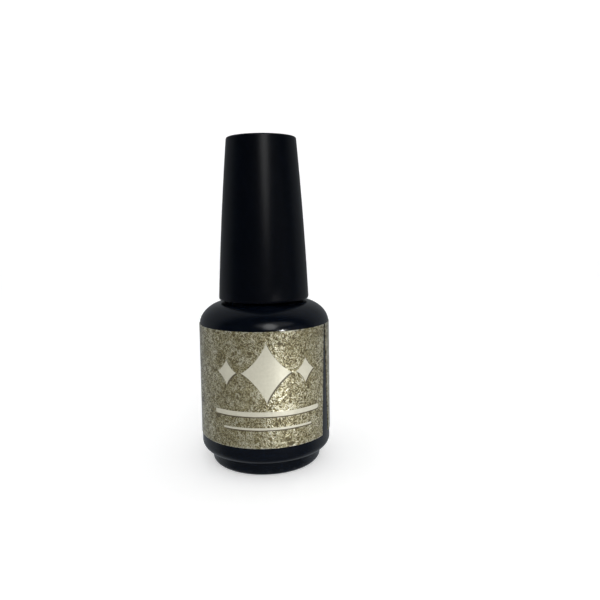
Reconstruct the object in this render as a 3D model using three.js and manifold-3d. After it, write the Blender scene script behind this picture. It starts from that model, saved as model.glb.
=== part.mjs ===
// A nail polish bottle: a round black-lacquered glass bottle with a wrap-round label film, and a tall
// tapered cap that carries the brush. Millimetres, +Z up, the bottle's axis on Z, its underside at Z = 0
// and the middle of the label facing -Y. The cap is screwed down. Every mesh is one separate physical piece.
import * as THREE from 'three';
import { mergeVertices } from 'three/addons/utils/BufferGeometryUtils.js';
import Module from 'manifold-3d';

const wasm = await Module();
wasm.setup();

// ---- driving dimensions ----
const ROUND_STEPS = 48; // flats round a large turned piece
const SMALL_STEPS = 24; // flats round a small turned piece

const BODY_R = 15.95; // outside of the straight glass wall
const BODY_LOW_Z = 5.4; // lower end of the straight wall
const BODY_HIGH_Z = 34.4; // upper end of the straight wall
const SHOULDER_R = 9.5; // where the shoulder turns level
const SHOULDER_Z = 39.6;
const SHOULDER_POWER = 1.85; // a little flatter than an ellipse
const FOOT_R = 13.45; // raised foot under the body
const FOOT_Z = 3.2;
const FLOOR_Z = 4.3; // inside floor of the glass
const BORE_R = 3.5; // inside of the neck
const NECK_R = 6.45; // root of the neck's thread
const LIP_Z = 52.4; // sealing lip of the neck

const THREAD_PITCH = 2.1;
const THREAD_HEIGHT = 0.75;
const NECK_THREAD_Z = 45.6; // where the neck's thread starts, at +X
const NECK_THREAD_TURNS = 1.75;
const CAP_THREAD_TURNS = 1.5;
const THREAD_STEPS = 24; // steps in each turn
const THREAD_ROOT = 0.95; // width of a ridge where it leaves the wall
const THREAD_CREST = 0.4; // width of a ridge at its top

const LABEL_INNER_R = 16;
const LABEL_OUTER_R = 16.1;
const LABEL_LOW_Z = 7.6;
const LABEL_HIGH_Z = 34.5;
const LABEL_ENDS_LOW = [56.5, 71]; // the film's two ends at its lower edge, in degrees from the front to +X
const LABEL_ENDS_HIGH = [61, 64.5]; // and at its upper edge, where they come closer together
const BASE_LABEL_R = 9.2;

const CAP_LOW_Z = 40.1;
const CAP_HIGH_Z = 79.5;
const CAP_LOW_R = 11.12;
const CAP_HIGH_R = 8.56;
const CAP_BELLY = 0.22; // how far the side bows out half way up
const CAP_WALL = 1.1;
const CAP_TOP_WALL = 1.6;
const CAP_EDGE = 0.4; // rounding of the top edge
const RIB_COUNT = 8;

const INNER_R = 8.3; // outside of the threaded inner cap
const INNER_ROOT_R = 7.55; // root of its thread
const INNER_LOW_Z = 41.2;
const INNER_DECK_Z = 54.9; // underside of its deck
const INNER_HIGH_Z = 56.1;
const DECK_HOLE_R = 3.5;

const STEM_R = 1.9;
const STEM_LOW_Z = 21.5;
const FLANGE_R = 5.6;
const FLANGE_LOW_Z = 53.6;
const FLANGE_HIGH_Z = 54.6;
const TUFT_TIP_Z = 7.4;
const TUFT_R = 1.75; // widest part of the bristles

const BALL_R = 2;
const BALL_ORBIT_R = 8.4; // how far a ball's centre lies from the axis
const FILL_R = 13;
const FILL_LEVEL_Z = 32;

// ---- helpers ----
const rad = (deg) => (deg * Math.PI) / 180;

const plastic = (hex, roughness) => new THREE.MeshStandardMaterial({ color: hex, roughness, metalness: 0 });
const metal = (hex, roughness) => new THREE.MeshStandardMaterial({ color: hex, roughness, metalness: 1 });

// Turns a list of [radius, height] round +Z. The list runs up the outside, then down the inside.
function turned(profile, steps) {
  const geometry = new THREE.LatheGeometry(profile.map(([r, z]) => new THREE.Vector2(r, z)), steps);
  geometry.rotateX(Math.PI / 2);
  return welded(geometry);
}

// Leaves only position, with shared corners merged and no flat triangles.
function welded(geometry) {
  geometry.deleteAttribute('normal');
  geometry.deleteAttribute('uv');
  const merged = mergeVertices(geometry, 1e-4);
  const index = merged.getIndex().array;
  const kept = [];
  for (let i = 0; i < index.length; i += 3) {
    const [a, b, c] = [index[i], index[i + 1], index[i + 2]];
    if (a !== b && b !== c && c !== a) kept.push(a, b, c);
  }
  merged.setIndex(kept);
  return merged;
}

function toSolid(geometry) {
  const vertProperties = new Float32Array(geometry.getAttribute('position').array);
  const triVerts = new Uint32Array(geometry.getIndex().array);
  return new wasm.Manifold(new wasm.Mesh({ numProp: 3, vertProperties, triVerts }));
}

function toGeometry(solid) {
  const mesh = solid.getMesh();
  const geometry = new THREE.BufferGeometry();
  geometry.setAttribute('position', new THREE.BufferAttribute(new Float32Array(mesh.vertProperties), 3));
  geometry.setIndex(Array.from(mesh.triVerts));
  return geometry;
}

function piece(name, geometry, material) {
  const shaded = geometry.index ? geometry.toNonIndexed() : geometry;
  shaded.computeVertexNormals();
  const mesh = new THREE.Mesh(shaded, material);
  mesh.name = name;
  return mesh;
}

// Points along a quarter of a superellipse, from upright at (r0, z0) to level at (r1, z1).
function quarter(r0, z0, r1, z1, power, count) {
  const points = [];
  for (let i = 0; i <= count; i += 1) {
    const angle = (i / count) * (Math.PI / 2);
    const across = Math.cos(angle) ** (2 / power);
    const up = Math.sin(angle) ** (2 / power);
    points.push([r1 + (r0 - r1) * across, z0 + (z1 - z0) * up]);
  }
  return points;
}

// One right-handed thread ridge. Its flat root is sunk into a wall of radius rootR and its crest stands
// height away from it: outwards when height is positive, inwards when it is negative. Both ends fade out.
function threadRidge(rootR, height, startZ, turns) {
  const steps = Math.round(turns * THREAD_STEPS);
  const sunk = rootR - Math.sign(height) * 0.3;
  const corners = [];
  for (let i = 0; i <= steps; i += 1) {
    const angle = (i / THREAD_STEPS) * Math.PI * 2;
    const fade = Math.min(1, 0.15 + i / 3, 0.15 + (steps - i) / 3);
    const z = startZ + (THREAD_PITCH * i) / THREAD_STEPS;
    const crest = rootR + height * fade;
    const section = [
      [sunk, z - THREAD_ROOT / 2],
      [crest, z - (THREAD_CREST / 2) * fade],
      [crest, z + (THREAD_CREST / 2) * fade],
      [sunk, z + THREAD_ROOT / 2],
    ];
    section.forEach(([r, h]) => corners.push(r * Math.cos(angle), r * Math.sin(angle), h));
  }
  const faces = [0, 1, 2, 0, 2, 3];
  for (let i = 0; i < steps; i += 1) {
    for (let k = 0; k < 4; k += 1) {
      const a = i * 4 + k;
      const b = i * 4 + ((k + 1) % 4);
      faces.push(a, a + 4, b, b, a + 4, b + 4);
    }
  }
  const last = steps * 4;
  faces.push(last, last + 2, last + 1, last, last + 3, last + 2);
  if (height < 0) {
    for (let i = 0; i < faces.length; i += 3) [faces[i + 1], faces[i + 2]] = [faces[i + 2], faces[i + 1]];
  }
  const geometry = new THREE.BufferGeometry();
  geometry.setAttribute('position', new THREE.BufferAttribute(new Float32Array(corners), 3));
  geometry.setIndex(faces);
  return toSolid(geometry);
}

// An upright plate whose outline is given as [radius, height], half as thick to each side of its plane.
function radialPlate(outline, thickness, deg) {
  const shape = new THREE.Shape(outline.map(([r, z]) => new THREE.Vector2(r, z)));
  const geometry = new THREE.ExtrudeGeometry(shape, { depth: thickness, bevelEnabled: false });
  geometry.translate(0, 0, -thickness / 2);
  geometry.rotateX(Math.PI / 2);
  geometry.rotateZ(rad(deg));
  return toSolid(welded(geometry));
}

// Outer radius of the cap at a height: a straight taper with a slight belly.
function capRadius(z) {
  const t = (z - CAP_LOW_Z) / (CAP_HIGH_Z - CAP_LOW_Z);
  return CAP_LOW_R + (CAP_HIGH_R - CAP_LOW_R) * t + CAP_BELLY * 4 * t * (1 - t);
}

// ---- the bottle and what is stuck to it ----
function makeBottle() {
  const outside = [
    [0, 0.9],
    [10, 0.9],
    [10.8, 0],
    [12.5, 0],
    [13.15, 0.25],
    [FOOT_R, 0.9],
    [FOOT_R, FOOT_Z],
    ...quarter(BODY_R, BODY_LOW_Z, FOOT_R + 0.1, FOOT_Z + 0.1, 2, 5).reverse(),
    ...quarter(BODY_R, BODY_HIGH_Z, SHOULDER_R, SHOULDER_Z, SHOULDER_POWER, 8),
    [NECK_R + 0.5, SHOULDER_Z + 0.15],
    [NECK_R, SHOULDER_Z + 0.65],
    [NECK_R, 41.2],
    [NECK_R + 0.5, 41.6],
    [NECK_R + 0.5, 42.3],
    [NECK_R, 42.7],
    [NECK_R, LIP_Z - 0.5],
    [NECK_R - 0.5, LIP_Z],
  ];
  const inside = [
    [BORE_R + 0.5, LIP_Z],
    [BORE_R, LIP_Z - 0.5],
    [BORE_R, 42.6],
    [BORE_R + 0.5, 40.6],
    [5, 38.7],
    [8.6, 37.2],
    [11.6, 35.6],
    [13, 33.6],
    [13.3, 32],
    [13.3, 7.3],
    [12.7, 5.4],
    [11.4, 4.5],
    [10.9, FLOOR_Z],
    [0, FLOOR_Z],
  ];
  const glass = toSolid(turned([...outside, ...inside], ROUND_STEPS));
  const ridge = threadRidge(NECK_R, THREAD_HEIGHT, NECK_THREAD_Z, NECK_THREAD_TURNS);
  return piece('bottle', toGeometry(glass.add(ridge)), plastic('#07080c', 0.06));
}

// A film with its two ends a little apart, so a strip of glass shows between them.
function makeWrapLabel() {
  const geometry = turned(
    [
      [LABEL_INNER_R, LABEL_LOW_Z],
      [LABEL_OUTER_R, LABEL_LOW_Z],
      [LABEL_OUTER_R, LABEL_HIGH_Z],
      [LABEL_INNER_R, LABEL_HIGH_Z],
      [LABEL_INNER_R, LABEL_LOW_Z],
    ],
    ROUND_STEPS,
  );
  // The gap is cut by a tapered prism that points outwards at the gap's middle.
  const middle = (LABEL_ENDS_LOW[0] + LABEL_ENDS_LOW[1]) / 2;
  const across = (deg) => LABEL_OUTER_R * Math.sin(rad(deg - middle));
  const gap = new THREE.Shape([
    new THREE.Vector2(across(LABEL_ENDS_LOW[0]), LABEL_LOW_Z - 0.01),
    new THREE.Vector2(across(LABEL_ENDS_LOW[1]), LABEL_LOW_Z - 0.01),
    new THREE.Vector2(across(LABEL_ENDS_HIGH[1]), LABEL_HIGH_Z + 0.01),
    new THREE.Vector2(across(LABEL_ENDS_HIGH[0]), LABEL_HIGH_Z + 0.01),
  ]);
  const cutter = new THREE.ExtrudeGeometry(gap, { depth: 6, bevelEnabled: false });
  cutter.rotateX(Math.PI / 2);
  cutter.translate(0, 3 - LABEL_OUTER_R, 0);
  cutter.rotateZ(rad(middle));
  const film = toSolid(geometry).subtract(toSolid(welded(cutter)));
  return piece('wrap_label', toGeometry(film), plastic('#9a9478', 0.25));
}

function makeBaseLabel() {
  const profile = [
    [0, 0.5],
    [BASE_LABEL_R, 0.5],
    [BASE_LABEL_R, 0.65],
    [0, 0.65],
  ];
  return piece('base_label', turned(profile, SMALL_STEPS), plastic('#e8e6e0', 0.5));
}

// ---- the contents ----
// The polish has a clear channel for the brush and, at the bottom, a ring-shaped run for the mixing balls.
function makeFill() {
  const low = FLOOR_Z + 0.3;
  const runHigh = FLOOR_Z + 2 * BALL_R + 0.7;
  const channelR = 2.7;
  const profile = [
    [0, low],
    [BALL_ORBIT_R - BALL_R - 0.5, low],
    [BALL_ORBIT_R - BALL_R - 0.5, runHigh],
    [BALL_ORBIT_R + BALL_R + 0.5, runHigh],
    [BALL_ORBIT_R + BALL_R + 0.5, 5.2],
    [12, 5.9],
    [FILL_R, 8],
    [FILL_R, FILL_LEVEL_Z],
    [channelR, FILL_LEVEL_Z],
    [channelR, TUFT_TIP_Z - 0.7],
    [0, TUFT_TIP_Z - 0.7],
  ];
  return piece('polish_fill', turned(profile, 32), plastic('#8f8a70', 0.2));
}

function makeBall(name, deg) {
  const geometry = welded(new THREE.SphereGeometry(BALL_R, 16, 10));
  const ball = piece(name, geometry, metal('#c9ccd0', 0.2));
  const angle = rad(deg);
  ball.position.set(BALL_ORBIT_R * Math.cos(angle), BALL_ORBIT_R * Math.sin(angle), FLOOR_Z + BALL_R + 0.1);
  return ball;
}

// ---- the cap ----
function makeOuterCap() {
  const sideCount = 6;
  const outer = [[capRadius(CAP_LOW_Z) - 0.45, CAP_LOW_Z]];
  for (let i = 0; i <= sideCount; i += 1) {
    const z = CAP_LOW_Z + 0.5 + ((CAP_HIGH_Z - CAP_EDGE - CAP_LOW_Z - 0.5) * i) / sideCount;
    outer.push([capRadius(z), z]);
  }
  const edgeR = capRadius(CAP_HIGH_Z - CAP_EDGE);
  outer.push([edgeR - 0.3 * CAP_EDGE, CAP_HIGH_Z - 0.3 * CAP_EDGE]);
  outer.push([edgeR - CAP_EDGE, CAP_HIGH_Z], [0, CAP_HIGH_Z]);
  const ceiling = CAP_HIGH_Z - CAP_TOP_WALL;
  const inner = [[0, ceiling]];
  for (const z of [ceiling, 68, 56, CAP_LOW_Z]) inner.push([capRadius(z) - CAP_WALL, z]);
  let cap = toSolid(turned([...outer, ...inner, outer[0]], ROUND_STEPS));
  // Ribs hold the inner cap: they run beside it, step in over its rim as a stop, and go on to the ceiling.
  for (let i = 0; i < RIB_COUNT; i += 1) {
    const outline = [
      [INNER_R + 0.3, 42.5],
      [capRadius(42.5) - CAP_WALL + 0.3, 42.5],
      [capRadius(56) - CAP_WALL + 0.3, 56],
      [capRadius(ceiling) - CAP_WALL + 0.3, ceiling + 0.3],
      [capRadius(ceiling) - CAP_WALL - 0.8, ceiling + 0.3],
      [6.3, INNER_HIGH_Z + 0.3],
      [INNER_R + 0.3, INNER_HIGH_Z + 0.3],
    ];
    cap = cap.add(radialPlate(outline, 1, (360 / RIB_COUNT) * i));
  }
  return piece('outer_cap', toGeometry(cap), plastic('#0b0c10', 0.35));
}

function makeInnerCap() {
  const profile = [
    [DECK_HOLE_R, INNER_DECK_Z],
    [INNER_ROOT_R, INNER_DECK_Z],
    [INNER_ROOT_R, INNER_LOW_Z + 0.5],
    [INNER_ROOT_R + 0.3, INNER_LOW_Z],
    [INNER_R, INNER_LOW_Z],
    [INNER_R, INNER_HIGH_Z - 0.4],
    [INNER_R - 0.4, INNER_HIGH_Z],
    [DECK_HOLE_R, INNER_HIGH_Z],
    [DECK_HOLE_R, INNER_DECK_Z],
  ];
  let cap = toSolid(turned(profile, ROUND_STEPS));
  const startZ = NECK_THREAD_Z + THREAD_PITCH / 2 - THREAD_PITCH;
  cap = cap.add(threadRidge(INNER_ROOT_R, -0.7, startZ, CAP_THREAD_TURNS));
  // Splines stand between the outer cap's ribs, so that turning one turns the other.
  for (let i = 0; i < RIB_COUNT; i += 1) {
    for (const side of [-1, 1]) {
      const deg = (360 / RIB_COUNT) * i + side * 8.2;
      const outline = [
        [INNER_R - 0.3, 43.5],
        [INNER_R + 0.5, 43.5],
        [INNER_R + 0.5, 54.5],
        [INNER_R - 0.3, 55.3],
      ];
      cap = cap.add(radialPlate(outline, 0.7, deg));
    }
  }
  return piece('inner_cap', toGeometry(cap), plastic('#15161a', 0.5));
}

// A loose washer round the stem, between the neck's lip and the stem's flange.
function makeSealWasher() {
  const profile = [
    [2.3, LIP_Z + 0.2],
    [6.2, LIP_Z + 0.2],
    [6.2, LIP_Z + 1],
    [2.3, LIP_Z + 1],
    [2.3, LIP_Z + 0.2],
  ];
  return piece('seal_washer', turned(profile, 32), plastic('#e9e9e4', 0.6));
}

// ---- the brush ----
// Its flange lies under the inner cap's deck, and its head is snapped through the deck's hole.
function makeStem() {
  const profile = [
    [1.45, STEM_LOW_Z],
    [STEM_R - 0.2, STEM_LOW_Z],
    [STEM_R, STEM_LOW_Z + 0.5],
    [STEM_R, 30],
    [STEM_R + 0.1, FLANGE_LOW_Z - 2],
    [STEM_R + 0.1, FLANGE_LOW_Z],
    [FLANGE_R, FLANGE_LOW_Z],
    [FLANGE_R, FLANGE_HIGH_Z],
    [3.2, FLANGE_HIGH_Z],
    [3.2, INNER_HIGH_Z + 0.3],
    [3.9, INNER_HIGH_Z + 0.6],
    [3.1, INNER_HIGH_Z + 2.2],
    [0, INNER_HIGH_Z + 2.2],
    [0, 26.7],
    [1.45, 26.7],
    [1.45, STEM_LOW_Z],
  ];
  return piece('brush_stem', turned(profile, SMALL_STEPS), plastic('#101114', 0.3));
}

// The metal staple that the folded bristles are driven in with.
function makeStaple() {
  const plate = new THREE.BoxGeometry(2.2, 0.4, 1.5);
  const staple = piece('bristle_staple', welded(plate), metal('#c2b280', 0.35));
  staple.position.set(0, 0, 25.65);
  return staple;
}

function makeTuft() {
  const profile = [
    [0, TUFT_TIP_Z],
    [0.7, TUFT_TIP_Z + 0.25],
    [1.25, TUFT_TIP_Z + 1.2],
    [TUFT_R, TUFT_TIP_Z + 4],
    [TUFT_R, TUFT_TIP_Z + 8],
    [1.15, STEM_LOW_Z - 0.4],
    [1.15, 24.6],
    [0, 24.6],
  ];
  return piece('bristle_tuft', turned(profile, 20), plastic('#1c1b1b', 0.6));
}

const nailPolishBottle = new THREE.Group();
nailPolishBottle.add(
  makeBottle(),
  makeWrapLabel(),
  makeBaseLabel(),
  makeFill(),
  makeBall('mixing_ball_1', 90),
  makeBall('mixing_ball_2', 270),
  makeOuterCap(),
  makeInnerCap(),
  makeSealWasher(),
  makeStem(),
  makeStaple(),
  makeTuft(),
);

export default nailPolishBottle;
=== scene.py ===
import math
import random

import bmesh
import bpy
from mathutils import Matrix, Vector


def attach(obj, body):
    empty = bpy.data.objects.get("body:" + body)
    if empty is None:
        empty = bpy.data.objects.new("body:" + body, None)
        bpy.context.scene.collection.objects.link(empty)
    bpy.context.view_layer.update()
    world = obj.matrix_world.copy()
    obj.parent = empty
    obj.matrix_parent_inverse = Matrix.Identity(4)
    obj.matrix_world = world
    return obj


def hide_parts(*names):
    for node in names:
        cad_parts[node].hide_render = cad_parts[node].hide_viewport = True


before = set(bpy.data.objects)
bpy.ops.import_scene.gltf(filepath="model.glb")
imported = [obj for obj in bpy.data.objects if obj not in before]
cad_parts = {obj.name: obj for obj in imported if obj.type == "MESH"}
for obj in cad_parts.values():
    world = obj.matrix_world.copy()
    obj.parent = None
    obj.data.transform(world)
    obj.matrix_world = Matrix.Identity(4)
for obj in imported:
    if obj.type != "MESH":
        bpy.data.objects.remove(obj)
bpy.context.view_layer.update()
MM = 0.001

# ---------------------------------------------------------------- shape helpers


def cut_corner(points, i, r, n=5):
    """A rounded corner at points[i] of a profile, as n+1 points."""
    p, a, b = Vector(points[i]), Vector(points[i - 1]), Vector(points[i + 1])
    u, v = (a - p), (b - p)
    r = min(r, u.length * 0.45, v.length * 0.45)
    s, e = p + u.normalized() * r, p + v.normalized() * r
    steps = [k / n for k in range(n + 1)]
    return [tuple(s * (1 - t) ** 2 + p * 2 * t * (1 - t) + e * t * t) for t in steps]


def rounded(points, radii):
    """points with the corners in radii {index: radius} rounded."""
    out = []
    for i, p in enumerate(points):
        out += cut_corner(points, i, radii[i]) if i in radii else [tuple(p)]
    return out


def dense(points, step):
    """points with no step in height or radius longer than step."""
    out = [points[0]]
    for a, b in zip(points, points[1:]):
        n = max(1, math.ceil(math.dist(a, b) / step))
        out += [(a[0] + (b[0] - a[0]) * k / n, a[1] + (b[1] - a[1]) * k / n) for k in range(1, n + 1)]
    return out


def quarter(r0, z0, r1, z1, power, n):
    """From upright at (r0, z0) to level at (r1, z1) along a quarter of a superellipse."""
    out = []
    for i in range(n + 1):
        a = math.pi / 2 * i / n
        c = max(0.0, math.cos(a))
        out.append((r1 + (r0 - r1) * c ** (2 / power), z0 + (z1 - z0) * math.sin(a) ** (2 / power)))
    return out


def mesh_object(name, bm, body, material, smooth, replaces=()):
    """Makes a piece from bm. Edges sharper than smooth degrees stay sharp, and 0 leaves it flat."""
    me = bpy.data.meshes.new(name)
    bmesh.ops.recalc_face_normals(bm, faces=bm.faces)
    bm.to_mesh(me)
    bm.free()
    ob = bpy.data.objects.new(name, me)
    bpy.context.scene.collection.objects.link(ob)
    me.materials.append(material)
    if smooth:
        for p in me.polygons:
            p.use_smooth = True
        me.set_sharp_from_angle(angle=math.radians(smooth))
    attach(ob, body)
    if replaces:
        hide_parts(*replaces)


def lathe(bm, profile, steps, radius=None, span=None):
    """Turns a profile of (r, z) in mm round +Z, and returns its rings of vertices.

    A profile that ends where it starts is closed on itself. radius(r, z, angle) may change a
    point's radius, and span(z) gives the first and last angle of a shape that has two ends.
    """
    closed = span is None
    loops = profile[0] == profile[-1]
    if loops:
        profile = profile[:-1]
    rings = []
    for r, z in profile:
        if r < 1e-6:
            rings.append([bm.verts.new((0, 0, z * MM))])
            continue
        ring = []
        start, end = (0.0, 2 * math.pi) if closed else span(z)
        for k in range(steps if closed else steps + 1):
            a = start + (end - start) * k / steps
            rr = radius(r, z, a) if radius else r
            ring.append(bm.verts.new((rr * math.cos(a) * MM, rr * math.sin(a) * MM, z * MM)))
        rings.append(ring)
    for lo, hi in zip(rings, rings[1:] + (rings[:1] if loops else [])):
        for k in range(steps):
            j = (k + 1) % steps if closed else k + 1
            if len(lo) == 1 and len(hi) == 1:
                continue
            if len(lo) == 1:
                bm.faces.new((lo[0], hi[j], hi[k]))
            elif len(hi) == 1:
                bm.faces.new((lo[k], lo[j], hi[0]))
            else:
                bm.faces.new((lo[k], lo[j], hi[j], hi[k]))
    return rings


def ridge(root, height, start_z, turns, pitch=2.1, foot=0.95, crest=0.4):
    """A radius function for lathe: a right-handed thread ridge on a wall of that root radius."""

    def radius(r, z, a):
        if abs(r - root) > 0.02:
            return r
        a = a % (2 * math.pi)
        best = 0.0
        for n in range(-1, 3):
            t = a / (2 * math.pi) + n
            if t < 0 or t > turns:
                continue
            fade = min(1.0, t * 7 + 0.02, (turns - t) * 7 + 0.02)
            off = abs(z - (start_z + pitch * t))
            if off < foot / 2:
                w = 1.0 if off < crest / 2 else (foot / 2 - off) / (foot / 2 - crest / 2)
                w = w * w * (3 - 2 * w)
                best = max(best, w * fade)
        return r + height * best

    return radius


# ---------------------------------------------------------------- material helpers


class Nodes:
    """A short way to build a node material."""

    def __init__(self, name):
        self.mat = bpy.data.materials.new(name)
        self.mat.use_nodes = True
        self.tree = self.mat.node_tree
        self.bsdf = self.tree.nodes["Principled BSDF"]
        self.coord = self.add("ShaderNodeTexCoord").outputs["Object"]

    def add(self, kind, **props):
        n = self.tree.nodes.new(kind)
        for k, v in props.items():
            setattr(n, k, v)
        return n

    def link(self, a, b):
        self.tree.links.new(a, b)

    def put(self, socket, value):
        if isinstance(value, bpy.types.NodeSocket):
            self.link(value, socket)
        else:
            socket.default_value = value

    def scaled(self, scale):
        m = self.add("ShaderNodeMapping")
        m.inputs["Scale"].default_value = scale if isinstance(scale, tuple) else (scale,) * 3
        self.link(self.coord, m.inputs["Vector"])
        return m.outputs["Vector"]

    def noise(self, scale, detail=4.0, rough=0.55, stretch=(1, 1, 1), distort=0.0):
        n = self.add("ShaderNodeTexNoise")
        self.link(self.scaled(tuple(scale * s for s in stretch)), n.inputs["Vector"])
        n.inputs["Scale"].default_value = 1.0
        n.inputs["Detail"].default_value = detail
        n.inputs["Roughness"].default_value = rough
        n.inputs["Distortion"].default_value = distort
        return n.outputs["Fac"]

    def cells(self, scale, out="Color"):
        n = self.add("ShaderNodeTexVoronoi")
        self.link(self.scaled(scale), n.inputs["Vector"])
        n.inputs["Scale"].default_value = 1.0
        return n.outputs[out]

    def ramp(self, fac, stops):
        n = self.add("ShaderNodeValToRGB")
        els = n.color_ramp.elements
        while len(els) > 1:
            els.remove(els[-1])
        for i, (pos, col) in enumerate(stops):
            e = els[0] if i == 0 else els.new(pos)
            e.position = pos
            c = (col,) * 3 if isinstance(col, (int, float)) else col
            e.color = (*c, 1.0)
        self.link(fac, n.inputs["Fac"])
        return n.outputs["Color"]

    def math(self, op, a, b=0.0, clamp=False):
        n = self.add("ShaderNodeMath", operation=op, use_clamp=clamp)
        self.put(n.inputs[0], a)
        self.put(n.inputs[1], b)
        return n.outputs[0]

    def mix(self, fac, a, b):
        n = self.add("ShaderNodeMix", data_type="RGBA")
        self.put(n.inputs["Factor"], fac)
        for s, v in ((n.inputs[6], a), (n.inputs[7], b)):
            self.put(s, v if isinstance(v, bpy.types.NodeSocket) else (*v, 1.0))
        return n.outputs[2]

    def sep(self, colour):
        n = self.add("ShaderNodeSeparateColor")
        self.link(colour, n.inputs[0])
        return n.outputs

    def height(self):
        n = self.add("ShaderNodeSeparateXYZ")
        self.link(self.coord, n.inputs[0])
        return n.outputs["Z"]

    def bump(self, height, strength, distance, normal=None):
        n = self.add("ShaderNodeBump")
        n.inputs["Strength"].default_value = strength
        n.inputs["Distance"].default_value = distance
        self.link(height, n.inputs["Height"])
        if normal is not None:
            self.link(normal, n.inputs["Normal"])
        return n.outputs["Normal"]

    def finish(self, **inputs):
        for k, v in inputs.items():
            self.put(self.bsdf.inputs[k.replace("_", " ")], v)
        return self.mat


def smudges(m, base, spread, scale=90.0):
    """Roughness with handling marks: mostly base, up to base + spread where skin has dulled it."""
    blotch = m.noise(scale, 5, 0.6, (1, 1, 0.7), 0.6)
    fine = m.noise(scale * 14, 3, 0.6)
    both = m.math("ADD", m.math("MULTIPLY", blotch, 0.75), m.math("MULTIPLY", fine, 0.25))
    n = m.add("ShaderNodeMapRange")
    m.link(both, n.inputs["Value"])
    n.inputs["From Min"].default_value = 0.42
    n.inputs["From Max"].default_value = 0.72
    n.inputs["To Min"].default_value = base
    n.inputs["To Max"].default_value = base + spread
    return n.outputs["Result"]


def worn(m, edges, width):
    """How worn a place is, 0 to 1: near the given heights in mm, and in patches."""
    z = m.height()
    near = None
    for edge in edges:
        off = m.math("ABSOLUTE", m.math("SUBTRACT", z, edge * MM))
        one = m.math("SUBTRACT", 1.0, m.math("DIVIDE", off, width * MM), clamp=True)
        near = one if near is None else m.math("MAXIMUM", near, one)
    patches = m.ramp(m.noise(900, 4, 0.65), [(0.46, 0.0), (0.62, 1.0)])
    return m.math("MULTIPLY", near, patches)


def black_glass():
    m = Nodes("black_glass")
    wave = m.noise(45, 2, 0.4, (1, 1, 0.5))
    dust = m.ramp(m.cells(1400, "Distance"), [(0.0, 1.0), (0.05, 0.0)])
    grain = m.noise(5200, 2, 0.6)
    n = m.bump(wave, 0.10, 0.0006)
    n = m.bump(grain, 0.05, 0.00002, n)
    n = m.bump(dust, 0.06, 0.00002, n)
    tone = m.mix(m.noise(220, 4, 0.6), (0.0004, 0.0015, 0.0042), (0.0009, 0.0022, 0.0055))
    tone = m.mix(worn(m, (0.2, 1.0, 3.2, 52.3), 0.5), tone, (0.010, 0.011, 0.013))
    return m.finish(Base_Color=tone, Roughness=smudges(m, 0.17, 0.07), Normal=n, IOR=1.5)


def satin_black():
    m = Nodes("satin_black")
    orange_peel = m.noise(900, 3, 0.5)
    grain = m.noise(6500, 2, 0.7)
    draw = m.noise(420, 3, 0.6, (1, 1, 0.06))
    scratch = m.noise(260, 2, 0.5, (5, 5, 0.35), 1.2)
    scratch = m.ramp(scratch, [(0.0, 0.0), (0.70, 0.0), (0.715, 1.0), (0.73, 0.0)])
    n = m.bump(orange_peel, 0.06, 0.00006)
    n = m.bump(grain, 0.12, 0.00002, n)
    n = m.bump(draw, 0.05, 0.00004, n)
    n = m.bump(scratch, 0.06, 0.00002, n)
    tone = m.mix(m.noise(160, 5, 0.6), (0.0002, 0.0010, 0.0032), (0.0006, 0.0017, 0.0046))
    tone = m.mix(worn(m, (40.2, 79.35), 0.35), tone, (0.012, 0.012, 0.013))
    m.bsdf.inputs["Specular IOR Level"].default_value = 0.3
    return m.finish(Base_Color=tone, Roughness=smudges(m, 0.28, 0.06, 70), Normal=n, IOR=1.47)


def glitter_label():
    """Fine champagne glitter printed under a clear film."""
    m = Nodes("glitter_label")
    big = m.noise(330, 4, 0.6)
    blot = m.noise(900, 3, 0.65)
    flake = m.sep(m.cells(3000))
    small = m.sep(m.cells(6000))
    curl = m.noise(880, 2, 0.5, (1, 1, 1), 1.9)
    thread = m.sep(m.ramp(curl, [(0.39, 0.0), (0.5, 1.0), (0.61, 0.0)]))["Red"]
    level = m.math("ADD", m.math("MULTIPLY", big, 0.34), m.math("MULTIPLY", blot, 0.30))
    level = m.math("ADD", level, m.math("MULTIPLY", thread, 0.28))
    level = m.math("ADD", level, m.math("MULTIPLY", flake["Red"], 0.10))
    level = m.math("ADD", level, m.math("MULTIPLY", small["Green"], 0.06))
    base = m.ramp(
        level,
        [
            (0.38, (0.085, 0.067, 0.030)),
            (0.46, (0.17, 0.141, 0.060)),
            (0.54, (0.335, 0.298, 0.158)),
            (0.62, (0.61, 0.575, 0.395)),
            (0.70, (0.92, 0.900, 0.76)),
        ],
    )
    base = m.mix(worn(m, (7.65, 34.45), 0.3), base, (0.62, 0.60, 0.52))
    shine = m.ramp(level, [(0.40, 0.30), (0.54, 0.55), (0.67, 0.85)])
    tilt = m.bump(flake["Blue"], 0.55, 0.00018)
    tilt = m.bump(small["Red"], 0.45, 0.00008, tilt)
    tilt = m.bump(thread, 0.30, 0.00010, tilt)
    m.put(m.bsdf.inputs["Coat Normal"], m.bump(m.noise(60, 2, 0.4), 0.05, 0.0005))
    m.bsdf.inputs["Coat Weight"].default_value = 0.8
    m.bsdf.inputs["Coat Roughness"].default_value = 0.12
    return m.finish(Base_Color=base, Metallic=shine, Roughness=smudges(m, 0.32, 0.14, 700), Normal=tilt)


def pale_ink():
    m = Nodes("pale_ink")
    wear = m.noise(1500, 4, 0.6)
    tone = m.mix(wear, (0.42, 0.402, 0.318), (0.56, 0.542, 0.445))
    n = m.bump(m.noise(4200, 3, 0.6), 0.12, 0.00003)
    return m.finish(Base_Color=tone, Roughness=smudges(m, 0.36, 0.14, 500), Normal=n, Metallic=0.25)


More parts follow.
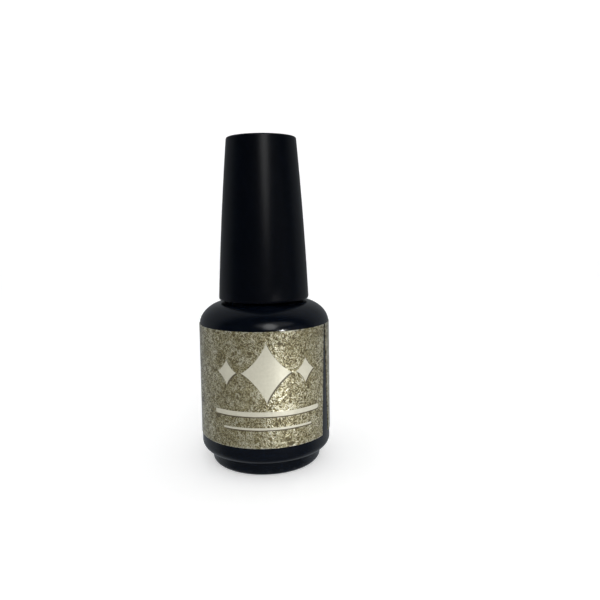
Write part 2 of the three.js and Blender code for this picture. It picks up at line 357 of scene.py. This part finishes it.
# Painted shadow: a dark layer that stands for the shade the raised ornament casts on the label.
def painted_shadow_material():
    m = Nodes("painted_shadow_sheet")
    tone = m.mix(m.noise(1500, 4, 0.6), (0.045, 0.036, 0.018), (0.10, 0.084, 0.048))
    n = m.bump(m.noise(4200, 3, 0.6), 0.12, 0.00003)
    return m.finish(Base_Color=tone, Roughness=smudges(m, 0.4, 0.14, 500), Normal=n)


def moulded(name, dark, light, rough, edges, scuff, grain=3800):
    """A plain moulding, coloured between dark and light, with scuff where its edges have rubbed."""
    m = Nodes(name)
    n = m.bump(m.noise(grain, 3, 0.65), 0.2, 0.00004)
    n = m.bump(m.noise(240, 3, 0.5, (1, 1, 0.2)), 0.08, 0.0001, n)
    tone = m.mix(m.noise(300, 4, 0.6), dark, light)
    tone = m.mix(worn(m, edges, 0.4), tone, scuff)
    return m.finish(Base_Color=tone, Roughness=smudges(m, rough, 0.15, 180), Normal=n, IOR=1.46)


def paper():
    m = Nodes("plain_paper")
    fibre = m.noise(2600, 4, 0.7, (1, 0.35, 1))
    tone = m.mix(m.noise(420, 5, 0.65), (0.70, 0.69, 0.645), (0.82, 0.81, 0.77))
    n = m.bump(fibre, 0.3, 0.00004)
    return m.finish(Base_Color=tone, Roughness=smudges(m, 0.5, 0.2, 260), Normal=n)


def wet_gel():
    """The polish: fine champagne flakes in a wet, glossy gel."""
    m = Nodes("wet_gel")
    flake = m.sep(m.cells(3600))
    swirl = m.noise(260, 4, 0.55, (1, 1, 1), 1.2)
    level = m.math("ADD", m.math("MULTIPLY", swirl, 0.7), m.math("MULTIPLY", flake["Red"], 0.45))
    gel_tones = [(0.3, (0.13, 0.11, 0.06)), (0.55, (0.33, 0.30, 0.2)), (0.8, (0.68, 0.65, 0.53))]
    tone = m.ramp(level, gel_tones)
    shine = m.ramp(level, [(0.35, 0.2), (0.75, 0.85)])
    m.bsdf.inputs["Coat Weight"].default_value = 1.0
    m.bsdf.inputs["Coat Roughness"].default_value = 0.03
    n = m.bump(flake["Blue"], 0.4, 0.0001)
    return m.finish(Base_Color=tone, Metallic=shine, Roughness=smudges(m, 0.3, 0.1, 500), Normal=n)


def ball_steel():
    m = Nodes("ball_steel")
    line = m.noise(900, 2, 0.5, (1, 6, 1))
    tone = m.mix(m.noise(700, 4, 0.6), (0.50, 0.51, 0.53), (0.68, 0.69, 0.71))
    n = m.bump(line, 0.1, 0.00003)
    return m.finish(Base_Color=tone, Metallic=1.0, Roughness=smudges(m, 0.12, 0.14, 500), Normal=n)


def staple_brass():
    m = Nodes("staple_brass")
    line = m.noise(1500, 2, 0.5, (0.2, 5, 4))
    tone = m.mix(m.noise(900, 4, 0.6), (0.48, 0.34, 0.13), (0.66, 0.50, 0.22))
    n = m.bump(line, 0.2, 0.00003)
    return m.finish(Base_Color=tone, Metallic=1.0, Roughness=smudges(m, 0.28, 0.18, 500), Normal=n)


def bristle_nylon():
    """Dark nylon, coated with polish from the tip upwards."""
    m = Nodes("bristle_nylon")
    z = m.height()
    ragged = m.noise(900, 3, 0.6, (1, 1, 0.25))
    edge = m.math("ADD", z, m.math("MULTIPLY", ragged, 0.006))
    wet = m.ramp(m.math("MULTIPLY", edge, 40.0), [(0.70, 1.0), (0.84, 0.0)])
    flake = m.sep(m.cells(4200))
    gel_tones = [(0.1, (0.16, 0.135, 0.075)), (0.6, (0.36, 0.33, 0.22)), (0.95, (0.72, 0.69, 0.56))]
    gel = m.ramp(flake["Red"], gel_tones)
    hair = m.mix(m.noise(1800, 3, 0.6, (1, 1, 0.1)), (0.018, 0.014, 0.012), (0.045, 0.036, 0.03))
    rough = m.math("SUBTRACT", 0.44, m.math("MULTIPLY", m.sep(wet)["Red"], 0.24))
    n = m.bump(m.noise(5000, 2, 0.6, (1, 1, 0.15)), 0.2, 0.00003)
    return m.finish(Base_Color=m.mix(wet, hair, gel), Roughness=rough, Normal=n)


GLASS, CAP, LABEL, PALE, PAINTED_SHADOW = black_glass(), satin_black(), glitter_label(), pale_ink(), painted_shadow_material()
INNER = moulded(
    "inner_cap_black", (0.010, 0.010, 0.012), (0.020, 0.020, 0.023), 0.42, (41.3, 56.0), (0.05,) * 3
)
STEM = moulded(
    "stem_black", (0.007, 0.007, 0.009), (0.014, 0.014, 0.016), 0.24, (21.6, 54.5), (0.04,) * 3
)
FOAM = moulded(
    "washer_foam", (0.66, 0.66, 0.62), (0.80, 0.80, 0.76), 0.6, (52.6, 53.4), (0.5, 0.48, 0.42), 5200
)
PAPER, GEL, STEEL, BRASS, NYLON = paper(), wet_gel(), ball_steel(), staple_brass(), bristle_nylon()

# ---------------------------------------------------------------- the bottle

BODY_R, BODY_LOW, BODY_HIGH = 15.97, 5.4, 34.4
FOOT_R, RECESS = 13.45, 0.9
NECK_R, NECK_TOP, BORE_R = 6.45, 52.4, 3.5
CAVITY_R, CAVITY_LOW = 13.3, 4.3
THREAD_STEP = 0.11


def glass_outside():
    """The outer wall, from the middle of the underside up to the start of the thread."""
    foot = [(0, RECESS), (10.0, RECESS), (10.75, 0.0), (12.75, 0.0), (FOOT_R, 0.75), (FOOT_R, 3.05)]
    wall = rounded(foot, {1: 0.3, 2: 0.25, 3: 0.5, 4: 0.5})
    wall += [(13.48, 3.2), (13.58, 3.27)]
    wall += quarter(BODY_R, BODY_LOW, 13.65, 3.3, 2, 14)[::-1]
    wall += [(BODY_R, z) for z in (8, 12, 20, 28, 32)]
    wall += quarter(BODY_R, BODY_HIGH, 9.5, 39.6, 1.85, 26)
    wall += rounded([(8.6, 39.62), (NECK_R, 39.75), (NECK_R, 41.2)], {1: 0.6})[1:]
    bead = [(NECK_R, 41.25), (6.95, 41.6), (6.95, 42.3), (NECK_R, 42.65), (NECK_R, 42.9)]
    wall += rounded(bead, {1: 0.2, 2: 0.2})[1:-1]
    return wall


def glass_inside():
    """The bore and the cavity, from under the lip down to the middle of the floor."""
    wall = [(BORE_R, 51), (BORE_R, 46), (BORE_R, 42.8), (3.62, 41.6), (4.0, 40.3), (4.7, 39.2)]
    wall += [(6.1, 38.2), (8.6, 37.2), (10.3, 36.4), (11.6, 35.6), (12.5, 34.6), (13.0, 33.6)]
    wall += [(CAVITY_R, 32.2), (CAVITY_R, 20), (CAVITY_R, 7.4), (13.1, 6.2), (12.6, 5.3)]
    wall += [(11.8, 4.7), (10.9, 4.4), (10.0, CAVITY_LOW), (0, CAVITY_LOW)]
    return wall


neck = dense([(NECK_R, 42.9), (NECK_R, 51.75)], THREAD_STEP)
lip = [(NECK_R, 51.8), (NECK_R, NECK_TOP), (BORE_R, NECK_TOP), (BORE_R, 51.0)]
lip = rounded(lip, {1: 0.5, 2: 0.5})[1:-1]
bm = bmesh.new()
lathe(bm, glass_outside() + neck + lip + glass_inside(), 168, ridge(NECK_R, 0.75, 45.6, 1.75))
mesh_object("lacquered_bottle", bm, "bottle", GLASS, 40, ["bottle"])

# ---------------------------------------------------------------- the label and its print

LABEL_LOW, LABEL_HIGH = 7.6, 34.5
LABEL_R, LABEL_BACK_R = 16.1, 15.99
# Where the film ends, in degrees from the front to +X: at its foot, and how much that grows upwards.
NEAR_END, FAR_END = (56.5, 4.5), (71.0, -6.5)
INK_THICKNESS = 0.01
INK_STEP = 0.8


def ends_at(z):
    """The label's two ends at a height, as the angles where the film starts and stops."""
    t = (z - LABEL_LOW) / (LABEL_HIGH - LABEL_LOW)
    near, far = NEAR_END[0] + NEAR_END[1] * t, FAR_END[0] + FAR_END[1] * t
    return math.radians(far - 90), math.radians(near - 90 + 360)


def film_at(s, z, lift):
    """A point lift mm off the label: s mm round from its middle towards +X, z up."""
    a = -math.pi / 2 + s / LABEL_R
    r = LABEL_R + lift
    return (r * math.cos(a) * MM, r * math.sin(a) * MM, z * MM)


bm = bmesh.new()
film = [(LABEL_BACK_R, LABEL_LOW + 0.02), (16.07, LABEL_LOW), (LABEL_R, LABEL_LOW + 0.03)]
film += [(LABEL_R, LABEL_LOW + (LABEL_HIGH - LABEL_LOW) * k / 12) for k in range(1, 12)]
film += [(LABEL_R, LABEL_HIGH - 0.03), (16.07, LABEL_HIGH), (LABEL_BACK_R, LABEL_HIGH - 0.02)]
film += film[:1]
rings = lathe(bm, film, 200, span=ends_at)
for k in (0, -1):
    bm.faces.new([ring[k] for ring in rings])
mesh_object("glitter_wrap_label", bm, "bottle", LABEL, 40, ["wrap_label"])


def patch(bm, outline, lift):
    """A thin layer with its outline given as (s, z) points in order, laid round the label."""
    flat = bmesh.new()
    flat.faces.new([flat.verts.new((s, z, 0)) for s, z in outline])
    lo, hi = min(p[0] for p in outline), max(p[0] for p in outline)
    s = lo + INK_STEP
    while s < hi:
        geom = flat.verts[:] + flat.edges[:] + flat.faces[:]
        bmesh.ops.bisect_plane(flat, geom=geom, plane_co=(s, 0, 0), plane_no=(1, 0, 0))
        s += INK_STEP
    bmesh.ops.triangulate(flat, faces=flat.faces[:])
    top = {v: bm.verts.new(film_at(v.co.x, v.co.y, lift)) for v in flat.verts}
    low = {v: bm.verts.new(film_at(v.co.x, v.co.y, lift - INK_THICKNESS)) for v in flat.verts}
    for f in flat.faces:
        bm.faces.new([top[v] for v in f.verts])
        bm.faces.new([low[v] for v in reversed(f.verts)])
    for edge in flat.edges:
        if edge.is_boundary:
            a, b = edge.verts
            bm.faces.new((top[a], top[b], low[b], low[a]))
    flat.free()


def star(s, z, w, h, power=0.78, n=16):
    """A four-pointed glint: a superellipse with its sides drawn in."""
    out = []
    for k in range(4 * n):
        a = 2 * math.pi * k / (4 * n)
        c, d = math.cos(a), math.sin(a)
        across = w * math.copysign(abs(c) ** (2 / power), c)
        rise = h * math.copysign(abs(d) ** (2 / power), d)
        out.append((s + across, z + rise))
    return out


def bar(s0, s1, z, t):
    """A plain line from s0 to s1, t wide, with round ends."""
    r = t / 2
    turns = [math.pi * k / 8 for k in range(9)]
    right_end = [(s1 - r + r * math.sin(a), z - r * math.cos(a)) for a in turns]
    left_end = [(s0 + r - r * math.sin(a), z + r * math.cos(a)) for a in turns]
    return right_end + left_end


def print_marks(name, material, lift, shift, grow):
    """The ornament: one large glint, two small ones and two plain lines under them. Drawn with a shift
    and a grow, it is the dark painted shadow laid under the print.
    """
    bm = bmesh.new()
    ds, dz = shift
    for s, z, w, h in ((0.2, 25.0, 6.0, 7.0), (-9.4, 25.0, 2.6, 3.0), (9.8, 25.0, 2.6, 3.0)):
        patch(bm, star(s + ds, z + dz, w + grow, h + grow), lift)
    for s0, s1, z, t in ((-13, 14, 15.6, 1.1), (-10.5, 11.5, 12.2, 0.5)):
        patch(bm, bar(s0 + ds, s1 + ds, z + dz, t + grow), lift)
    mesh_object(name, bm, "bottle", material, 0)


# The dark layer, shifted and a little larger, is painted shadow of the raised ornament; the pale layer
# over it is the print.
print_marks("ornament_shadow", PAINTED_SHADOW, 0.012, (0.22, -0.25), 0.12)
print_marks("ornament_print", PALE, 0.024, (0, 0), 0.0)

BASE_LABEL_R, BASE_LABEL_LOW, BASE_LABEL_HIGH = 9.2, 0.5, 0.65
bm = bmesh.new()
disc = [(0, BASE_LABEL_LOW), (BASE_LABEL_R, BASE_LABEL_LOW)]
disc += [(BASE_LABEL_R, BASE_LABEL_HIGH), (8, BASE_LABEL_HIGH)]
lathe(bm, [(0, BASE_LABEL_HIGH)] + rounded(disc, {1: 0.06, 2: 0.06})[::-1], 96)
mesh_object("plain_base_label", bm, "bottle", PAPER, 40, ["base_label"])

# ---------------------------------------------------------------- what is inside

POLISH_TOP = 32.0
RUN_INNER_R, RUN_OUTER_R, RUN_TOP = 5.95, 10.9, 9.0
BALL_R, BALL_RING_R, BALL_Z = 2, 8.4, 6.4

# The polish leaves a run for the balls, and clings to the glass and to the stem.
fill = [(0, 4.36), (5.9, 4.4), (RUN_INNER_R, RUN_TOP), (RUN_OUTER_R, RUN_TOP), (10.95, 4.75)]
fill += [(11.9, 5.05), (12.6, 5.65), (13.02, 6.7), (13.2, 7.9), (13.24, 20), (13.25, 32.6)]
fill += [(13.05, 32.25), (12.7, 32.06), (12.0, POLISH_TOP), (6.0, POLISH_TOP), (3.2, 32.02)]
fill += [(2.5, 32.1), (2.1, 32.35), (1.75, 32.4), (0, 32.4)]
bm = bmesh.new()
lathe(bm, fill, 96)
mesh_object("wet_polish", bm, "bottle", GEL, 50, ["polish_fill"])

for n, deg in ((1, 90), (2, 270)):
    a = math.radians(deg)
    bm = bmesh.new()
    bmesh.ops.create_icosphere(bm, subdivisions=4, radius=BALL_R * MM)
    rng = random.Random(40 + n)
    for v in bm.verts:
        v.co *= 1 - 0.002 * rng.random()
    for v in bm.verts:
        v.co += Vector((BALL_RING_R * math.cos(a), BALL_RING_R * math.sin(a), BALL_Z)) * MM
    mesh_object(f"steel_ball_{n}", bm, f"ball_{n}", STEEL, 180, [f"mixing_ball_{n}"])

# ---------------------------------------------------------------- the cap

CAP_LOW, CAP_HIGH = 40.1, 79.5
CAP_LOW_R, CAP_HIGH_R, CAP_SWELL = 11.12, 8.56, 0.22
CAP_WALL, CAP_CEILING = 1.1, 77.9
CAP_EDGE_R = 0.45
SKIRT_R, SKIRT_LOW, SKIRT_HIGH, SKIRT_BORE_R = 8.3, 41.2, 56.1, 7.55
WASHER_LOW, WASHER_HIGH, WASHER_R, WASHER_BORE_R = 52.6, 53.4, 6.2, 2.3
RIB_ANGLES = range(0, 360, 45)


def cap_r(z):
    """The overcap's outer radius: a straight taper with a slight swell."""
    t = (z - CAP_LOW) / (CAP_HIGH - CAP_LOW)
    return CAP_LOW_R + (CAP_HIGH_R - CAP_LOW_R) * t + CAP_SWELL * 4 * t * (1 - t)


def plate(bm, outline, t, deg):
    """An upright radial plate: outline is (r, z) in mm, t its thickness."""
    turn = Matrix.Rotation(math.radians(deg), 3, "Z")
    rows = []
    for y in (-t / 2, t / 2):
        rows.append([bm.verts.new(turn @ Vector((r * MM, y * MM, z * MM))) for r, z in outline])
    bm.faces.new(rows[0][::-1])
    bm.faces.new(rows[1])
    n = len(outline)
    for k in range(n):
        j = (k + 1) % n
        bm.faces.new((rows[0][k], rows[0][j], rows[1][j], rows[1][k]))


edge_z = CAP_HIGH - CAP_EDGE_R
edge_r = cap_r(edge_z) - CAP_EDGE_R
side = [(cap_r(CAP_LOW) - CAP_WALL, CAP_LOW), (cap_r(CAP_LOW) - 0.5, CAP_LOW)]
side += [(cap_r(CAP_LOW + 0.12) - 0.16, CAP_LOW + 0.1), (cap_r(CAP_LOW + 0.3) - 0.03, CAP_LOW + 0.3)]
side += [(cap_r(z), z) for z in (CAP_LOW + 0.6 + 38.3 * k / 24 for k in range(25))]
quarter_turn = [math.pi / 2 * k / 10 for k in range(11)]
side += [(edge_r + CAP_EDGE_R * math.cos(b), edge_z + CAP_EDGE_R * math.sin(b)) for b in quarter_turn]
side += [(6.5, CAP_HIGH), (4, CAP_HIGH), (0, CAP_HIGH)]
under = [(0, CAP_CEILING), (cap_r(CAP_CEILING) - 1.6, CAP_CEILING), (cap_r(77.4) - 1.13, 77.4)]
under += [(cap_r(z) - CAP_WALL, z) for z in (74, 68, 62, 56, 50, 45, 41)]
under += side[:1]
bm = bmesh.new()
lathe(bm, side + under, 168)
ceiling_r = cap_r(CAP_CEILING) - CAP_WALL
rib = [(8.6, 42.5), (cap_r(42.5) - 1.0, 42.5), (cap_r(56) - 1.0, 56), (ceiling_r + 0.1, 77.95)]
rib += [(ceiling_r - 0.8, 77.95), (6.3, 56.4), (8.6, 56.4)]
for deg in RIB_ANGLES:
    plate(bm, rib, 1.0, deg)
mesh_object("tall_overcap", bm, "cap", CAP, 40, ["outer_cap"])

skirt = [(SKIRT_R, SKIRT_LOW), (SKIRT_R, 48), (SKIRT_R, 55.7), (8.2, 55.95), (7.95, SKIRT_HIGH)]
skirt += [(3.5, SKIRT_HIGH), (3.5, 54.9), (7.3, 54.9)]
skirt += dense([(SKIRT_BORE_R, 54.7), (SKIRT_BORE_R, 41.7)], THREAD_STEP)
skirt += [(7.62, 41.4), (7.8, 41.22), (8.0, SKIRT_LOW), (SKIRT_R, SKIRT_LOW)]
spline = [(8.1, 43.5), (8.8, 43.5), (8.8, 54.5), (8.1, 55.3)]
bm = bmesh.new()
lathe(bm, skirt, 144, ridge(SKIRT_BORE_R, -0.7, 44.55, 1.5))
for deg in RIB_ANGLES:
    for aside in (-8.2, 8.2):
        plate(bm, spline, 0.7, deg + aside)
mesh_object("threaded_inner_cap", bm, "cap", INNER, 40, ["inner_cap"])

bm = bmesh.new()
washer = [(4, WASHER_LOW), (WASHER_R, WASHER_LOW), (WASHER_R, WASHER_HIGH)]
washer += [(WASHER_BORE_R, WASHER_HIGH), (WASHER_BORE_R, WASHER_LOW), (4, WASHER_LOW)]
lathe(bm, rounded(washer, {1: 0.2, 2: 0.2, 3: 0.15, 4: 0.15}), 96)
mesh_object("soft_seal_washer", bm, "washer", FOAM, 50, ["seal_washer"])

# ---------------------------------------------------------------- the brush

STEM_LOW, STEM_TOP = 21.5, 58.3
HAIRS, HAIR_ROOT, HAIR_TIP = 290, 24.55, 7.45
HAIR_RADII = [0.05] * 7 + [0.036, 0.014]
GOLDEN_ANGLE = 2.39996

stem = [(0, 26.7), (1.45, 26.7), (1.45, 22), (1.5, 21.6), (1.62, STEM_LOW), (1.74, 21.55)]
stem += [(1.88, 21.8), (1.9, 22.2), (1.9, 30), (1.93, 38), (1.98, 48)]
stem_head = [(2, 51), (2, 53.6), (5.6, 53.6), (5.6, 54.6), (3.2, 54.6), (3.2, 56.4)]
stem_head += [(3.9, 56.7), (3.1, STEM_TOP), (0, STEM_TOP)]
stem += rounded(stem_head, {1: 0.25, 2: 0.2, 3: 0.2, 4: 0.2, 6: 0.2, 7: 0.4})
bm = bmesh.new()
lathe(bm, stem, 72)
mesh_object("moulded_stem", bm, "brush", STEM, 40, ["brush_stem"])

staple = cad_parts["bristle_staple"]
staple.data.materials.clear()
staple.data.materials.append(BRASS)


def filament(bm, points, radii, sides=6):
    """A thin tapered hair along points (mm)."""
    rows = []
    turns = [2 * math.pi * k / sides for k in range(sides)]
    for i, p in enumerate(points):
        d = (points[min(i + 1, len(points) - 1)] - points[max(i - 1, 0)]).normalized()
        u = d.cross(Vector((0, 1, 0))).normalized()
        v = d.cross(u)
        row = [p + (u * math.cos(a) + v * math.sin(a)) * radii[i] for a in turns]
        rows.append([bm.verts.new(q * MM) for q in row])
    for lo, hi in zip(rows, rows[1:]):
        for k in range(sides):
            bm.faces.new((lo[k], lo[(k + 1) % sides], hi[(k + 1) % sides], hi[k]))
    bm.faces.new(rows[0])
    bm.faces.new(rows[-1][::-1])


bm = bmesh.new()
rng = random.Random(7)
for i in range(HAIRS):
    q = math.sqrt((i + 0.5) / HAIRS)
    a = i * GOLDEN_ANGLE
    lean = rng.uniform(-0.06, 0.06)
    tip_z = HAIR_TIP + 1.9 * q**2.2 + rng.uniform(0, 0.22)
    points = []
    for k in range(len(HAIR_RADII)):
        z = HAIR_ROOT + (tip_z - HAIR_ROOT) * (k / 8)
        below = max(0.0, (STEM_LOW - z) / 14.0)
        belly = 0.58 * math.sin(min(1.0, below * 1.25) * math.pi * 0.62)
        spread = 1.05 + belly - 0.62 * max(0.0, below - 0.55) ** 1.5
        turned = a + lean * below
        points.append(Vector((q * spread * math.cos(turned), q * spread * math.sin(turned), z)))
    filament(bm, points, HAIR_RADII)
mesh_object("bristle_hairs", bm, "brush", NYLON, 60, ["bristle_tuft"])

# ---------------------------------------------------------------- the floor

scene = bpy.context.scene

FLAT_R, BEND_R, WALL_TOP = 700, 500, 2600
FLOOR_DROP = 0.02


def pale_floor():
    m = Nodes("pale_floor")
    tone = m.mix(m.noise(6, 4, 0.6), (0.905, 0.905, 0.905), (0.925, 0.925, 0.925))
    m.bsdf.inputs["Emission Color"].default_value = (1, 1, 1, 1)
    m.bsdf.inputs["Emission Strength"].default_value = 0.30
    return m.finish(Base_Color=tone, Roughness=0.8, Normal=m.bump(m.noise(300, 3, 0.6), 0.04, 0.0002))


# A round pale sweep: the floor curves up into a wall on every side.
bm = bmesh.new()
bowl = [(0, 0), (60, 0), (300, 0), (FLAT_R, 0)]
bend = [math.pi / 2 * k / 20 for k in range(1, 21)]
bowl += [(FLAT_R + BEND_R * math.sin(a), BEND_R - BEND_R * math.cos(a)) for a in bend]
bowl += [(FLAT_R + BEND_R, WALL_TOP)]
lathe(bm, [(r, z - FLOOR_DROP) for r, z in bowl], 96)
floor_mesh = bpy.data.meshes.new("floor")
bm.to_mesh(floor_mesh)
bm.free()
for p in floor_mesh.polygons:
    p.use_smooth = True
floor_mesh.materials.append(pale_floor())
floor = bpy.data.objects.new("floor", floor_mesh)
scene.collection.objects.link(floor)
floor.visible_glossy = False

# ---------------------------------------------------------------- the lights

LIGHT_DISTANCE = 0.60
BOTTLE_MIDDLE = Vector((0, 0, 0.045))
LABEL_MIDDLE = Vector((0, 0, 0.018))
BEAM_HALF_WIDTH = 0.0172


def aimed_light(data, azimuth, elevation, target):
    """Places a light that looks at target. Azimuth 0 is in front, at -Y, and 90 is at +X."""
    ob = bpy.data.objects.new(data.name, data)
    scene.collection.objects.link(ob)
    a, e = math.radians(azimuth), math.radians(elevation)
    away = Vector((math.sin(a) * math.cos(e), -math.cos(a) * math.cos(e), math.sin(e)))
    ob.location = target + away * LIGHT_DISTANCE
    ob.rotation_euler = (target - ob.location).to_track_quat("-Z", "Y").to_euler()
    return ob


def area(name, azimuth, elevation, size, power):
    """A soft elliptical light, size (wide, tall) in metres, aimed at the bottle."""
    data = bpy.data.lights.new(name, "AREA")
    data.shape = "ELLIPSE"
    data.size, data.size_y = size
    data.energy = power
    aimed_light(data, azimuth, elevation, BOTTLE_MIDDLE).visible_camera = False


area("streak", 10, 27, (0.22, 0.38), 0.55)
area("wide_soft", 20, 38, (0.70, 0.30), 0.22)
area("side_dim", 55, 2, (0.50, 0.30), 0.04)

# A narrow beam from the front right, for the label's brighter zone.
beam = bpy.data.lights.new("label_beam", "SPOT")
beam.energy = 8.0
beam.spot_size = 2 * math.atan(BEAM_HALF_WIDTH / LIGHT_DISTANCE)
beam.spot_blend = 0.35
beam.shadow_soft_size = 0.010
aimed_light(beam, 30, 1, LABEL_MIDDLE)

# The room: almost dark in front, lighter behind the bottle, with a little light from below.
world = bpy.data.worlds.new("studio")
scene.world = world
world.use_nodes = True
room = world.node_tree
background = room.nodes["Background"]
background.inputs["Color"].default_value = (0.88, 0.94, 1.0, 1.0)
split = room.nodes.new("ShaderNodeSeparateXYZ")
room.links.new(room.nodes.new("ShaderNodeTexCoord").outputs["Generated"], split.inputs[0])


def fade(socket, low, high, value_low, value_high):
    """A smooth change from value_low to value_high as the socket goes from low to high."""
    n = room.nodes.new("ShaderNodeMapRange")
    n.interpolation_type = "SMOOTHSTEP"
    room.links.new(socket, n.inputs["Value"])
    for key, v in (("From Min", low), ("From Max", high), ("To Min", value_low), ("To Max", value_high)):
        n.inputs[key].default_value = v
    return n.outputs["Result"]


total = room.nodes.new("ShaderNodeMath")
total.operation = "ADD"
room.links.new(fade(split.outputs["Y"], -0.25, 0.30, 0.012, 0.21), total.inputs[0])
room.links.new(fade(split.outputs["Z"], -0.40, -0.05, 0.10, 0.0), total.inputs[1])
room.links.new(total.outputs[0], background.inputs["Strength"])

# ---------------------------------------------------------------- the camera

CAMERA_PLACE = (0, -0.14661, 0.05942)
YAW, PITCH, ROLL = 0.062, 0.085, -0.014

cam_data = bpy.data.cameras.new("camera")
cam = bpy.data.objects.new("camera", cam_data)
scene.collection.objects.link(cam)
cam_data.sensor_width = 36.0
cam_data.lens = 35.43
cam_data.shift_y = -0.05
cam_data.clip_start = 0.01
forward = Vector((math.sin(YAW) * math.cos(PITCH), math.cos(YAW) * math.cos(PITCH), -math.sin(PITCH)))
level_right = Vector((math.cos(YAW), -math.sin(YAW), 0.0))
level_up = level_right.cross(forward)
right = level_right * math.cos(ROLL) + level_up * math.sin(ROLL)
up = level_up * math.cos(ROLL) - level_right * math.sin(ROLL)
turn = Matrix((right, up, -forward)).transposed().to_4x4()
cam.matrix_world = Matrix.Translation(CAMERA_PLACE) @ turn
scene.camera = cam
scene.view_settings.view_transform = "Standard"
